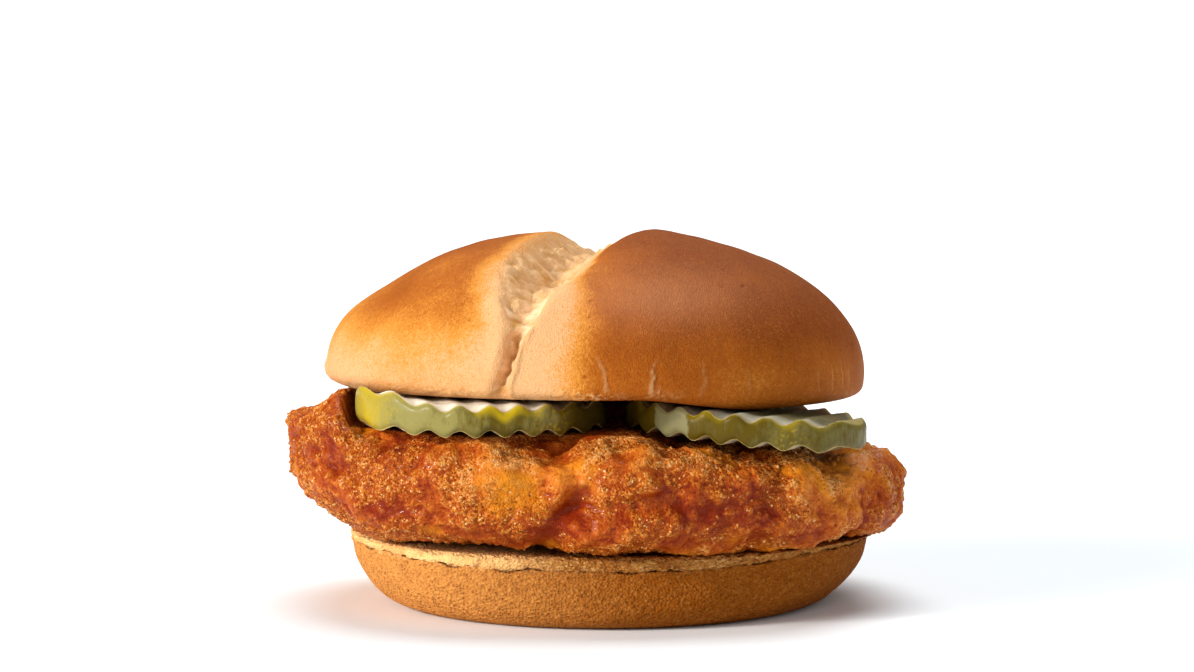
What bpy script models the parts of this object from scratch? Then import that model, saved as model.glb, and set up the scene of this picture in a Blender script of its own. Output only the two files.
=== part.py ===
"""Chicken burger: a bottom bun, a breaded fillet, two crinkle-cut pickles and a split-top bun.

Metres, +Z up. The origin is the middle of the bottom bun's flat underside, +X runs along the
fillet towards its thin end, and -Y is the front, where both pickles look out.
"""
import math

import bmesh
import bpy
from mathutils import Matrix, Vector, noise

MM = 0.001
GAP = 0.3 * MM

# Bottom bun: a low drum with a rounded foot, a baked wall and a band of cut crumb above it
HEEL_RADIUS = 50.0 * MM
HEEL_FLAT_RADIUS = 41.6 * MM
HEEL_TOP = 13.4 * MM
HEEL_SEAM = 10.4 * MM
HEEL_SEAM_DEPTH = 0.7 * MM
HEEL_FLARE = 2.4 * MM
HEEL_FOOT_SHIFT_X = -0.9 * MM
HEEL_FOOT_SHIFT_Y = -3.0 * MM
HEEL_FOOT_NARROWING = 0.07
HEEL_STEPS = 64
HEEL_FOOT_POINTS = 6

# Top bun: a dome of two lobes, lower towards +X, with a deep split between them
CROWN_X = -2.6 * MM
CROWN_RADIUS = 52.4 * MM
CROWN_PEAK = 71.4 * MM
CROWN_EQUATOR = 45.2 * MM
CROWN_LEAN = 0.033
CROWN_DOME_POWER = 2.2
CROWN_UNDERSIDE = 41.8 * MM
CROWN_SAG = 2.4 * MM
CROWN_SAG_START = 3.4 * MM
CROWN_SAG_END = 27.4 * MM
CROWN_TUCK = 0.12
CROWN_TUCK_POWER = 3.2
CROWN_STEPS = 92
CROWN_DOME_POINTS = 15
CROWN_TUCK_POINTS = 3

# The split runs from the front rim over the top and closes before the back rim
SPLIT_TOP_X = -3.6 * MM
SPLIT_SLOPE = 0.275
SPLIT_LOW_LEAN = 0.27
SPLIT_LOW_START = 55.0 * MM
SPLIT_FRONT_Y = -52.0 * MM
SPLIT_WIDE_Y = -30.0 * MM
SPLIT_CLOSING_Y = 18.0 * MM
SPLIT_END_Y = 48.0 * MM
SPLIT_RIM_DEPTH = 0.6 * MM
SPLIT_WIDE_DEPTH = 6.0 * MM
SPLIT_TOP_DEPTH = 4.5 * MM
SPLIT_RIM_HALF_WIDTH = 2.4 * MM
SPLIT_LEFT_WIDTH = 9.0 * MM
SPLIT_RIGHT_WIDTH = 12.5 * MM

# Fillet: a craggy slab, thick at -X and thin at +X
FILLET_X = -3.0 * MM
FILLET_LEFT = 61.2 * MM
FILLET_RIGHT = 59.0 * MM
FILLET_END_SLANT = 2.6 * MM
FILLET_FRONT = 56.5 * MM
FILLET_BACK = 44.0 * MM
FILLET_PLAN_POWER = 2.3
FILLET_SECTION_POWER = 4.5
FILLET_CELLS = 26
FILLET_WALL_CELLS = 10
FILLET_LUMP = 3.2 * MM
FILLET_LUMP_SIZE = 24.0 * MM
FILLET_CRAG = 1.9 * MM
FILLET_CRAG_SIZE = 8.5 * MM

# Pickles: wavy slices of a cucumber, ridges running front to back
PICKLE_THICKNESS = 4.8 * MM
PICKLE_WAVE = 0.62 * MM
PICKLE_PITCH = 5.5 * MM
PICKLE_COLUMNS_PER_WAVE = 4
PICKLE_ROWS = 5
PICKLE_SQUARED_END = 0.985
LEFT_PICKLE = {
    "name": "pickle_left", "x": -24.1 * MM, "y": -29.8 * MM, "radius": 23.6 * MM,
    "middle": 38.3 * MM, "slope": 0.0, "turn": math.radians(11.0), "upturn": 2.6 * MM,
    "first_ridge": -18.5 * MM,
}
RIGHT_PICKLE = {
    "name": "pickle_right", "x": 25.3 * MM, "y": -28.6 * MM, "radius": 22.6 * MM,
    "middle": 36.3 * MM, "slope": -0.098, "turn": math.radians(-20.0), "upturn": 0.0,
    "first_ridge": -6.4 * MM,
}


def linear_colour(hex_code):
    """Turn an sRGB hex colour into linear red, green, blue and alpha."""
    channels = []
    for start in (1, 3, 5):
        level = int(hex_code[start:start + 2], 16) / 255.0
        channels.append(level / 12.92 if level <= 0.04045 else ((level + 0.055) / 1.055) ** 2.4)
    return (*channels, 1.0)


def principled(name, hex_code, roughness):
    """Make a plain Principled material."""
    material = bpy.data.materials.new(name)
    material.use_nodes = True
    shader = material.node_tree.nodes["Principled BSDF"]
    shader.inputs["Base Color"].default_value = linear_colour(hex_code)
    shader.inputs["Roughness"].default_value = roughness
    shader.inputs["Metallic"].default_value = 0.0
    return material


def ramp(low, high, value):
    """Rise smoothly from 0 at low to 1 at high, in either direction."""
    share = min(max((value - low) / (high - low), 0.0), 1.0)
    return share * share * (3.0 - 2.0 * share)


def bump(value, middle, width):
    """Give 1 at the middle and fall off to both sides."""
    return math.exp(-((value - middle) / width) ** 2)


def finish_object(name, mesh_builder, material):
    """Turn a bmesh into a named, smooth-shaded object."""
    bmesh.ops.recalc_face_normals(mesh_builder, faces=mesh_builder.faces)
    mesh = bpy.data.meshes.new(name)
    mesh_builder.to_mesh(mesh)
    mesh_builder.free()
    mesh.shade_smooth()
    mesh.materials.append(material)
    made = bpy.data.objects.new(name, mesh)
    bpy.context.scene.collection.objects.link(made)
    return made


def turned_body(profile, steps):
    """Spin a list of (radius, height) points, first and last on the axis, into a closed bmesh."""
    turned = bmesh.new()
    points = [turned.verts.new((radius, 0.0, height)) for radius, height in profile]
    edges = [turned.edges.new(pair) for pair in zip(points, points[1:])]
    bmesh.ops.spin(
        turned, geom=points + edges, cent=(0, 0, 0), axis=(0, 0, 1),
        angle=math.tau, steps=steps, use_merge=True,
    )
    bmesh.ops.remove_doubles(turned, verts=turned.verts, dist=0.001 * MM)
    return turned


def heel_profile():
    """List the bottom bun's section from the middle of its foot to the middle of its cut top."""
    profile = [(0.0, 0.0), (HEEL_FLAT_RADIUS * 0.5, 0.0), (HEEL_FLAT_RADIUS, 0.0)]
    foot_reach = HEEL_RADIUS - HEEL_FLAT_RADIUS
    for index in range(1, HEEL_FOOT_POINTS + 1):
        turn = 0.5 * math.pi * index / HEEL_FOOT_POINTS
        radius = HEEL_FLAT_RADIUS + foot_reach * math.sin(turn) ** 0.9
        profile.append((radius, (HEEL_SEAM - 1.6 * MM) * (1.0 - math.cos(turn))))
    band_radius = HEEL_RADIUS + 0.3 * MM
    profile.append((HEEL_RADIUS + 0.1 * MM, HEEL_SEAM))
    profile.append((HEEL_RADIUS - HEEL_SEAM_DEPTH, HEEL_SEAM + 0.4 * MM))
    profile.append((band_radius, HEEL_SEAM + 1.0 * MM))
    profile.append((band_radius + 0.2 * MM, HEEL_TOP - 0.9 * MM))
    profile.append((band_radius - 0.7 * MM, HEEL_TOP))
    profile.append((HEEL_RADIUS * 0.6, HEEL_TOP))
    profile.append((0.0, HEEL_TOP))
    return profile


def make_bottom_bun():
    """Build the bottom bun, its cut rim flaring out towards +X."""
    heel = turned_body(heel_profile(), HEEL_STEPS)
    for vertex in heel.verts:
        place = vertex.co
        radius = math.hypot(place.x, place.y)
        foot = 1.0 - ramp(0.0, HEEL_SEAM, place.z)
        narrow = 1.0 - HEEL_FOOT_NARROWING * foot
        if radius < HEEL_FLAT_RADIUS * 0.99 or foot > 0.999:
            place.x = place.x * narrow + HEEL_FOOT_SHIFT_X * foot
            place.y += HEEL_FOOT_SHIFT_Y * foot
            continue
        heading = math.atan2(place.y, place.x)
        swell = 0.5 * MM * math.sin(2.0 * heading + 0.6) + 0.3 * MM * math.sin(5.0 * heading)
        flare = HEEL_FLARE * bump(heading, -0.1, 0.55) * ramp(HEEL_SEAM, HEEL_TOP, place.z)
        grown = (radius + swell * (1.0 - foot) + flare) / radius
        place.x = place.x * grown * narrow + HEEL_FOOT_SHIFT_X * foot
        place.y = place.y * grown + HEEL_FOOT_SHIFT_Y * foot
    return finish_object("bottom_bun", heel, principled("baked bun wall", "#D9944F", 0.75))


def crown_underside(x):
    """Height of the top bun's cut underside, which sags towards +X."""
    return CROWN_UNDERSIDE - CROWN_SAG * ramp(CROWN_SAG_START, CROWN_SAG_END, x)


def crown_profile():
    """List the top bun's section as (share of radius, level): 1 at the peak, 0 at its widest,
    -1 at the underside."""
    profile = []
    for index in range(CROWN_DOME_POINTS + 1):
        turn = 0.5 * math.pi * index / CROWN_DOME_POINTS
        profile.append((math.sin(turn) ** (2.0 / CROWN_DOME_POWER), math.cos(turn)))
    for index in range(1, CROWN_TUCK_POINTS + 1):
        turn = 0.5 * math.pi * index / CROWN_TUCK_POINTS
        inset = 1.0 - math.cos(turn) ** (2.0 / CROWN_TUCK_POWER)
        profile.append((1.0 - CROWN_TUCK * inset, -math.sin(turn) ** (2.0 / CROWN_TUCK_POWER)))
    for share in (0.66, 0.42, 0.2, 0.0):
        profile.append((share, -1.0))
    profile[0] = (0.0, 1.0)
    return profile


def split_middle_x(y, z):
    """Where the split's bottom lies, as x: it leans further to the left low on the front rim."""
    if y >= 0.0:
        return SPLIT_TOP_X + SPLIT_SLOPE * y * math.exp(-y / (9.0 * MM))
    middle = SPLIT_TOP_X + SPLIT_SLOPE * y
    if y < SPLIT_WIDE_Y:
        middle -= SPLIT_LOW_LEAN * max(SPLIT_LOW_START - z, 0.0)
    return middle


def split_depth(x, y, z):
    """How deep the split cuts into the dome at a place."""
    opening = ramp(SPLIT_FRONT_Y, SPLIT_WIDE_Y, y)
    closing = 1.0 - ramp(SPLIT_CLOSING_Y, SPLIT_END_Y, y)
    settle = ramp(SPLIT_WIDE_Y, 0.0, y)
    widest = SPLIT_WIDE_DEPTH + (SPLIT_TOP_DEPTH - SPLIT_WIDE_DEPTH) * settle
    deepest = (SPLIT_RIM_DEPTH + (widest - SPLIT_RIM_DEPTH) * opening) * closing
    across = x - split_middle_x(y, z)
    full_width = SPLIT_LEFT_WIDTH if across < 0.0 else SPLIT_RIGHT_WIDTH
    across /= SPLIT_RIM_HALF_WIDTH + (full_width - SPLIT_RIM_HALF_WIDTH) * opening
    return deepest * (1.0 - ramp(0.0, 1.0, abs(across)))


def make_top_bun():
    """Build the top bun: lean the turned dome, raise its lobes and press the split into it."""
    crown = turned_body(crown_profile(), CROWN_STEPS)
    places = []
    for vertex in crown.verts:
        share_x, share_y, level = vertex.co
        x = share_x * CROWN_RADIUS
        y = share_y * CROWN_RADIUS
        equator = CROWN_EQUATOR - CROWN_LEAN * x
        if level >= 0.0:
            z = equator + (CROWN_PEAK - equator) * level
            z += level * 0.6 * MM * bump(x, 10.0 * MM, 8.0 * MM)
            z -= level * 3.4 * MM * bump(x, -44.0 * MM, 12.0 * MM)
        else:
            z = equator + (equator - crown_underside(x + CROWN_X)) * level
        places.append((vertex, Vector((x + CROWN_X, y, z)), level))
    for vertex, place, level in places:
        vertex.co = place
    crown.normal_update()
    for vertex, place, level in places:
        if level < -0.9:
            continue
        fade = ramp(-0.9, -0.2, level)
        inward = -vertex.normal * split_depth(place.x, place.y, place.z) * fade
        uneven = noise.noise(place / (26.0 * MM)) * 0.5 * MM * fade
        vertex.co = place + inward + vertex.normal * uneven
    return finish_object("top_bun", crown, principled("glazed bun crust", "#B36F30", 0.35))


def box_shell(wide, deep, high):
    """Make a cube from -1 to 1, cut into cells on every side, as a welded bmesh."""
    shell = bmesh.new()
    quarter = 0.5 * math.pi
    sides = [
        (wide, deep, Matrix.Identity(4)),
        (wide, deep, Matrix.Rotation(math.pi, 4, "X")),
        (wide, high, Matrix.Rotation(quarter, 4, "X")),
        (wide, high, Matrix.Rotation(-quarter, 4, "X")),
        (high, deep, Matrix.Rotation(quarter, 4, "Y")),
        (high, deep, Matrix.Rotation(-quarter, 4, "Y")),
    ]
    lift = Matrix.Translation((0.0, 0.0, 1.0))
    for across, along, turn in sides:
        bmesh.ops.create_grid(
            shell, x_segments=across, y_segments=along, size=1.0, matrix=turn @ lift,
        )
    bmesh.ops.remove_doubles(shell, verts=shell.verts, dist=0.0001)
    return shell


def pickle_middle(pickle, x, y):
    """Height of a pickle's middle layer, without its waves, curled up where it leaves the bun."""
    out_of_bun = ramp(48.0 * MM, 58.0 * MM, math.hypot(x - CROWN_X, y))
    curl = pickle["upturn"] * out_of_bun * ramp(-30.0 * MM, -44.0 * MM, x)
    return pickle["middle"] + pickle["slope"] * (x - pickle["x"]) + curl


def fillet_top(x, y):
    """Height of the fillet's top: under the pickles in front, up to the top bun behind."""
    front = 36.1 * MM - 6.6 * MM * ramp(0.0, 52.0 * MM, x)
    front += 6.0 * MM * ramp(-46.0 * MM, -51.0 * MM, x)
    back = 41.0 * MM - 2.4 * MM * ramp(4.0 * MM, 28.0 * MM, x)
    back -= 9.6 * MM * ramp(22.0 * MM, 52.0 * MM, x)
    return front + (back - front) * ramp(-9.0 * MM, 14.0 * MM, y)


def fillet_bottom(x):
    """Height of the fillet's bottom, which lifts off the bun at its thick end."""
    return HEEL_TOP + GAP + 7.6 * MM * ramp(-38.0 * MM, -66.0 * MM, x)


def fillet_ceiling(x, y):
    """Highest level that the fillet may reach below the pickles and the top bun."""
    pickle = LEFT_PICKLE if x < 1.5 * MM else RIGHT_PICKLE
    low_wave = pickle_middle(pickle, x, y) - 0.5 * PICKLE_THICKNESS - PICKLE_WAVE
    under_bun = crown_underside(x) - GAP
    clear = max(ramp(-5.0 * MM, 12.0 * MM, y), ramp(-48.2 * MM, -51.0 * MM, x))
    return low_wave - GAP + (under_bun - low_wave + GAP) * clear


def crease_depth(place):
    """Depth of the three deep folds in the fillet's front."""
    if place.y > -30.0 * MM:
        return 0.0
    folds = (
        (Vector((-5.0, 26.0)), Vector((-13.0, 16.0)), 2.6, 2.4),
        (Vector((4.2, 23.8)), Vector((12.0, 24.6)), 2.0, 1.6),
        (Vector((-9.0, 34.0)), Vector((-5.0, 26.0)), 2.4, 1.4),
    )
    seen = Vector((place.x, place.z)) / MM
    deepest = 0.0
    for start, end, width, depth in folds:
        along = end - start
        share = min(max((seen - start).dot(along) / along.length_squared, 0.0), 1.0)
        distance = (seen - start - along * share).length
        deepest = max(deepest, depth * bump(distance, 0.0, width))
    return deepest * MM


def fillet_relief(place):
    """How far the breading stands out from the plain slab."""
    lumps = noise.noise(place / FILLET_LUMP_SIZE + Vector((3.1, 0.4, 7.7))) * FILLET_LUMP
    crags = noise.fractal(place / FILLET_CRAG_SIZE, 0.9, 2.1, 2) * FILLET_CRAG
    return lumps + crags - crease_depth(place)


def make_fillet():
    """Build the breaded fillet from a rounded slab with lumps, crags and folds."""
    fillet = box_shell(FILLET_CELLS, FILLET_CELLS, FILLET_WALL_CELLS)
    for vertex in fillet.verts:
        across, along, up = vertex.co
        plan = (abs(across) ** FILLET_PLAN_POWER + abs(along) ** FILLET_PLAN_POWER)
        plan = plan ** (1.0 / FILLET_PLAN_POWER)
        size = plan ** FILLET_SECTION_POWER + abs(up) ** FILLET_SECTION_POWER
        size = size ** (1.0 / FILLET_SECTION_POWER)
        x = FILLET_X + across / size * (FILLET_LEFT if across < 0.0 else FILLET_RIGHT)
        y = along / size * (FILLET_FRONT if along < 0.0 else FILLET_BACK)
        low = fillet_bottom(x)
        level = 0.5 + 0.5 * up / size
        z = low + (fillet_top(x, y) - low) * level
        slant = FILLET_END_SLANT * level * ramp(25.0 * MM, 58.0 * MM, x)
        vertex.co = (x - slant, y, z)
    fillet.normal_update()
    moved = [(vertex, vertex.co + vertex.normal * fillet_relief(vertex.co)) for vertex in fillet.verts]
    for vertex, place in moved:
        place.z = min(place.z, fillet_ceiling(place.x, place.y))
        if math.hypot(place.x, place.y) < HEEL_RADIUS + HEEL_FLARE + 4.0 * MM:
            place.z = max(place.z, HEEL_TOP + GAP)
        vertex.co = place
    return finish_object("chicken_fillet", fillet, principled("fried breading", "#C06A26", 0.45))


def make_pickle(pickle):
    """Build one crinkle-cut slice: columns across the ridges, rows along them."""
    radius = pickle["radius"]
    columns = round(2.0 * radius / PICKLE_PITCH * PICKLE_COLUMNS_PER_WAVE)
    shell = box_shell(columns, PICKLE_ROWS, 1)
    facing = Matrix.Rotation(pickle["turn"], 2)
    for vertex in shell.verts:
        across, along, up = vertex.co
        from_middle = across * PICKLE_SQUARED_END * radius
        half_chord = math.sqrt(radius ** 2 - from_middle ** 2)
        flat = facing @ Vector((from_middle, along * half_chord))
        x = pickle["x"] + flat.x
        y = pickle["y"] + flat.y
        phase = math.tau * (from_middle - pickle["first_ridge"]) / PICKLE_PITCH
        z = pickle_middle(pickle, x, y) + PICKLE_WAVE * math.cos(phase)
        vertex.co = (x, y, z + 0.5 * PICKLE_THICKNESS * up)
    return finish_object(pickle["name"], shell, principled("pickled cucumber", "#8E8A32", 0.3))


def main():
    for old in list(bpy.data.objects):
        bpy.data.objects.remove(old)
    make_bottom_bun()
    make_fillet()
    make_pickle(LEFT_PICKLE)
    make_pickle(RIGHT_PICKLE)
    make_top_bun()


main()
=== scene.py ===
"""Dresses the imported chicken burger: fine buns, breaded fillet and pickles, in a plain studio."""
import itertools
import math

import bpy
import numpy as np
from bpy.props import FloatProperty, FloatVectorProperty, PointerProperty
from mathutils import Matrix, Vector, noise


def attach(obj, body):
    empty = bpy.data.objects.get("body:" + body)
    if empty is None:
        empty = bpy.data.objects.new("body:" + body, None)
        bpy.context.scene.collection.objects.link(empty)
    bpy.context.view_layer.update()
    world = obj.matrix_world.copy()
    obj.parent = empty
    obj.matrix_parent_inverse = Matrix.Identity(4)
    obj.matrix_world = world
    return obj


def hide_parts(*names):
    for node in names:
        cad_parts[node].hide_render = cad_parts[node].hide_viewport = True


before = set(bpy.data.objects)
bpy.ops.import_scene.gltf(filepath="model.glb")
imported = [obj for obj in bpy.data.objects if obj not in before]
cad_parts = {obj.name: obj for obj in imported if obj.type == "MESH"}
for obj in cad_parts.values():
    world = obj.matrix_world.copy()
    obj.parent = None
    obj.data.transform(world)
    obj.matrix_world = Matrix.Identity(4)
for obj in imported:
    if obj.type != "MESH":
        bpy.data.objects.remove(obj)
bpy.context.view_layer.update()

bl_info = {
    "name": "Chicken burger",
    "version": (1, 0, 0),
    "blender": (4, 5, 0),
    "location": "View3D > Sidebar > Burger",
    "description": "A split-top bun, a breaded fillet, two pickle slices and a bottom bun",
    "category": "Object",
}

MM = 0.001
SLICE_THICKNESS = 4.8 * MM
SLICE_WAVE = 0.62 * MM


def hex_colour(code):
    """Turn an sRGB hex colour into linear red, green and blue."""
    channels = []
    for start in (1, 3, 5):
        level = int(code[start:start + 2], 16) / 255.0
        channels.append(level / 12.92 if level <= 0.04045 else ((level + 0.055) / 1.055) ** 2.4)
    return tuple(channels)


def length_setting(name, description, default):
    """Declare a length that a user would change, in metres."""
    return FloatProperty(
        name=name, description=description, default=default, unit="LENGTH", precision=5,
    )


def colour_setting(name, description, code):
    """Declare a colour that a user would change."""
    return FloatVectorProperty(
        name=name, description=description, default=hex_colour(code), subtype="COLOR",
        min=0.0, max=1.0,
    )


class HeelSettings(bpy.types.PropertyGroup):
    """Bottom bun."""

    radius: length_setting("Radius", "Radius of the baked wall", 50.0 * MM)
    foot_radius: length_setting("Foot radius", "Radius of the flat underside", 41.6 * MM)
    seam: length_setting("Seam height", "Where the baked wall ends and cut crumb begins", 10.4 * MM)
    flare: length_setting("Flare", "How far the cut rim flares out at the thin end", 2.4 * MM)
    grain: length_setting("Grain", "Size of the sandy grain on the wall", 0.9 * MM)
    # The wall goes from paler on the left to browner towards +X: partly real browning, partly
    # painted shade on the side away from the key light.
    wall: colour_setting("Wall", "Baked wall on the paler side", "#DE964C")
    wall_brown: colour_setting("Brown wall", "Baked wall on the browner side", "#94500E")
    wall_dark: colour_setting("Wall pits", "Browned pits in the wall", "#8E4E1C")
    wall_light: colour_setting("Wall grains", "Pale grains of the wall", "#E69C4E")
    wall_pit: colour_setting("Small pits", "Small dark pits of the wall", "#7A3606")
    # Painted shade: the dark groove along the seam and the deepest pits.
    slit: colour_setting("Slit", "Dark slit along the seam, and the deepest pits", "#5A2C0E")
    crumb: colour_setting("Crumb", "Cut crumb above the seam", "#BE8440")
    # Whitish fibres; also used as painted light on the crumb on the left, in the fillet's shade.
    crumb_light: colour_setting("Crumb fibres", "Whitish fibres of the crumb", "#FFCB84")
    crumb_dark: colour_setting("Toasted crumb", "Toasted patches of the crumb", "#8A4E1A")


class CrownSettings(bpy.types.PropertyGroup):
    """Top bun."""

    radius: length_setting("Radius", "Radius at the widest level", 52.4 * MM)
    peak: length_setting("Peak", "Height of the two lobes' tops", 71.4 * MM)
    equator: length_setting("Widest level", "Height at which the bun is widest", 45.2 * MM)
    split_depth: length_setting("Split depth", "Deepest place of the split", 6.0 * MM)
    torn_edge: length_setting("Torn edge", "Height of the torn skin above the crumb", 0.9 * MM)
    dark: colour_setting("Dark crust", "Most browned crust", "#863E0A")
    brown: colour_setting("Brown crust", "Browned crust of the lobes", "#A65714")
    golden: colour_setting("Golden crust", "Golden crust of the flanks", "#D58A35")
    pale: colour_setting("Pale crust", "Unbrowned skin near the split and the base", "#DBA774")
    crumb: colour_setting("Crumb", "Torn crumb in the split", "#F4CA9E")
    skin: colour_setting("Thin skin", "Thin yellow skin left on the crumb", "#CE9A56")
    # Painted sheen: a pale pinkish painted highlight on the higher lobe's front.
    bloom: colour_setting("Bloom", "Dry pinkish bloom on the higher lobe", "#D09068")
    hollow: colour_setting("Hollows", "Shaded hollows of the crumb and the crack", "#BE8444")
    fold: colour_setting("Folds", "Pale raised wrinkles and the flaky lower rim", "#E6BE86")


class FilletSettings(bpy.types.PropertyGroup):
    """Breaded chicken fillet."""

    nodule: length_setting("Nodules", "Size of the breading's lumps", 2.3 * MM)
    granule: length_setting("Granules", "Size of the breading's grains", 0.9 * MM)
    # Painted shade: the dark red of the deep folds and the low places of the relief.
    crease: colour_setting("Creases", "Deep oily creases", "#7A2204")
    fried: colour_setting("Fried", "Main fried colour", "#A84A10")
    golden: colour_setting("Golden", "Raised golden crust", "#D27A22")
    amber: colour_setting("Amber", "Smooth oily patches", "#E08A10")
    flour: colour_setting("Floury peaks", "Dry floury peaks", "#E09C58")
    # Painted glints: the palest grains painted as small highlights.
    glint: colour_setting("Crisp grains", "Palest crisp grains", "#FFD694")
    speck: colour_setting("Specks", "Burnt specks and pepper", "#5A1C06")


class PickleSettings(bpy.types.PropertyGroup):
    """Pickle slices."""

    thickness: length_setting("Thickness", "Thickness of a slice", SLICE_THICKNESS)
    wave: length_setting("Wave", "Half the height of the crinkle", SLICE_WAVE)
    pitch: length_setting("Pitch", "Distance between ridges", 5.5 * MM)
    rind: colour_setting("Rind", "Olive rind", "#5C4A06")
    # Yellow rim colour, also the painted glow of light at the rind's top edge and highlights, and
    # the pale dots.
    rind_light: colour_setting("Light rind", "Yellow-green rim of the rind", "#B4980E")
    rind_clear: colour_setting("Clear rind", "Translucent paler parts of the rind", "#8A8046")
    rind_dark: colour_setting("Dark rind", "Dark olive rind in the shade", "#352A06")
    cut_line: colour_setting("Cut line", "Thin pale line along the lower cut", "#C9B070")
    pulp: colour_setting("Pulp", "Pale wet pulp", "#F4EEDA")
    # Painted shade: the pulp darkened where the top bun shades it.
    pulp_olive: colour_setting("Olive pulp", "Clearer olive pulp", "#5C5428")
    seed: colour_setting("Seeds", "Seeds in the pulp", "#C9B978")
    # Painted reflection: a pale patch on the front of the right slice's rind.
    film: colour_setting("Film", "Pale bare patch on the right slice's rind", "#8E8A62")


class StageSettings(bpy.types.PropertyGroup):
    """Floor, lights and camera."""

    distance: length_setting("Distance", "Camera distance in front of the origin", 596.0 * MM)
    eye_height: length_setting("Eye height", "Camera height above the floor", 84.5 * MM)
    sideways: length_setting("Sideways", "Camera offset along X", -2.6 * MM)
    look_down: FloatProperty(
        name="Look down", description="How far the camera is tipped down",
        default=math.radians(3.24), subtype="ANGLE", unit="ROTATION",
    )
    lens: FloatProperty(name="Lens", description="Focal length in mm", default=91.84, min=1.0)
    floor: colour_setting("Floor", "Plain pale floor", "#FAFCFD")


# Small tools for numbers and meshes


def ramp(low, high, values):
    """Rise smoothly from 0 at low to 1 at high, in either direction."""
    share = np.clip((values - low) / (high - low), 0.0, 1.0)
    return share * share * (3.0 - 2.0 * share)


def bump(values, middle, width):
    """Give 1 at the middle and fall off to both sides."""
    return np.exp(-((values - middle) / width) ** 2)


def ramp_mm(low, high, values):
    """Ramp between two places in mm."""
    return ramp(low * MM, high * MM, values)


def bump_mm(values, middle, width):
    """Bump whose middle and width are in mm."""
    return bump(values, middle * MM, width * MM)


def cell_random(cells, seed):
    """Give three numbers from 0 to 1 for each whole-numbered cell."""
    x, y, z = (cells[..., axis].astype(np.int64).astype(np.uint32) for axis in range(3))
    mixed = x * np.uint32(73856093) ^ y * np.uint32(19349663) ^ z * np.uint32(83492791)
    mixed = mixed ^ np.uint32(seed * 668265263 % 4294967296)
    numbers = []
    for _ in range(3):
        mixed = (mixed ^ (mixed >> np.uint32(15))) * np.uint32(2246822519)
        mixed = mixed ^ (mixed >> np.uint32(13))
        numbers.append(mixed / 4294967295.0)
    return np.stack(numbers, -1)


def soft_noise(places, size, seed=0):
    """Give smooth noise of about -1 to 1, with lumps of the given size."""
    scaled = places / size + seed * 17.31
    low = np.floor(scaled)
    part = scaled - low
    fade = part ** 3 * (part * (part * 6.0 - 15.0) + 10.0)
    total = 0.0
    for corner in itertools.product((0, 1), repeat=3):
        pull = cell_random(low + corner, seed) * 2.0 - 1.0
        weight = np.prod(np.where(corner, fade, 1.0 - fade), axis=-1)
        total = total + weight * np.sum(pull * (part - corner), axis=-1)
    return total * 1.6


def rough_noise(places, size, octaves, seed=0):
    """Add up finer and finer soft noise."""
    total = 0.0
    for octave in range(octaves):
        total = total + soft_noise(places, size / 2.0 ** octave, seed + octave) / 2.0 ** octave
    return total


def wobble(places, *waves):
    """Add up soft noise: each wave has its height and its size in mm, and its seed."""
    return sum(height * MM * soft_noise(places, size * MM, seed) for height, size, seed in waves)


def nearest_lump(places, size, seed=0):
    """Give the distance to the nearest scattered centre, in sizes, and that centre's number."""
    scaled = places / size
    low = np.floor(scaled)
    nearest = np.full(len(places), 9.0)
    number = np.zeros(len(places))
    for corner in itertools.product((-1, 0, 1), repeat=3):
        cell = low + corner
        drawn = cell_random(cell, seed)
        distance = np.linalg.norm(cell + drawn - scaled, axis=-1)
        closer = distance < nearest
        nearest = np.where(closer, distance, nearest)
        number = np.where(closer, drawn[..., 0], number)
    return nearest, number


def box_lattice(wide, deep, high, open_below=False):
    """Give the corners, from -1 to 1, and the quads of a box's skin cut into cells."""
    counts = (wide, deep, high)
    quads = []
    for axis, top in itertools.product(range(3), (0, 1)):
        if open_below and axis == 2 and not top:
            continue
        first, second = (axis + 1) % 3, (axis + 2) % 3
        across, along = np.meshgrid(
            np.arange(counts[first]), np.arange(counts[second]), indexing="ij")
        turn = ((0, 0), (1, 0), (1, 1), (0, 1)) if top else ((0, 0), (0, 1), (1, 1), (1, 0))
        corners = np.zeros((across.size, 4, 3), np.int64)
        for index, (step_first, step_second) in enumerate(turn):
            corners[:, index, axis] = top * counts[axis]
            corners[:, index, first] = across.ravel() + step_first
            corners[:, index, second] = along.ravel() + step_second
        quads.append(corners)
    quads = np.concatenate(quads)
    keys = (quads[..., 0] * (deep + 1) + quads[..., 1]) * (high + 1) + quads[..., 2]
    kept, index = np.unique(keys, return_inverse=True)
    lattice = np.stack([kept // ((deep + 1) * (high + 1)), kept // (high + 1) % (deep + 1),
                        kept % (high + 1)], -1)
    return lattice / np.array(counts) * 2.0 - 1.0, index.reshape(-1, 4)


def close_below(places, quads, loop, shares, level):
    """Close an open underside with rings that shrink towards the loop's middle."""
    middle = places[loop].mean(0)
    rings = [loop]
    added = []
    count = len(places)
    for share in shares:
        ring = middle + (places[loop] - middle) * share
        ring[:, 2] = level(ring)
        added.append(ring)
        rings.append(np.arange(count, count + len(loop)))
        count += len(loop)
    added.append(middle[None] * (1, 1, 0) + (0, 0, level(middle[None])[0]))
    faces = []
    for outer, inner in zip(rings, rings[1:]):
        faces.append(np.stack([outer, inner, np.roll(inner, -1), np.roll(outer, -1)], -1))
    last = rings[-1]
    centre = np.full(len(last), count)
    fan = np.stack([last, centre, np.roll(last, -1)], -1)
    return np.concatenate([places, *added]), np.concatenate([quads, *faces]), fan


def unit(vectors):
    """Scale vectors to a length of 1."""
    return vectors / np.maximum(np.linalg.norm(vectors, axis=-1, keepdims=True), 1e-12)


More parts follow.
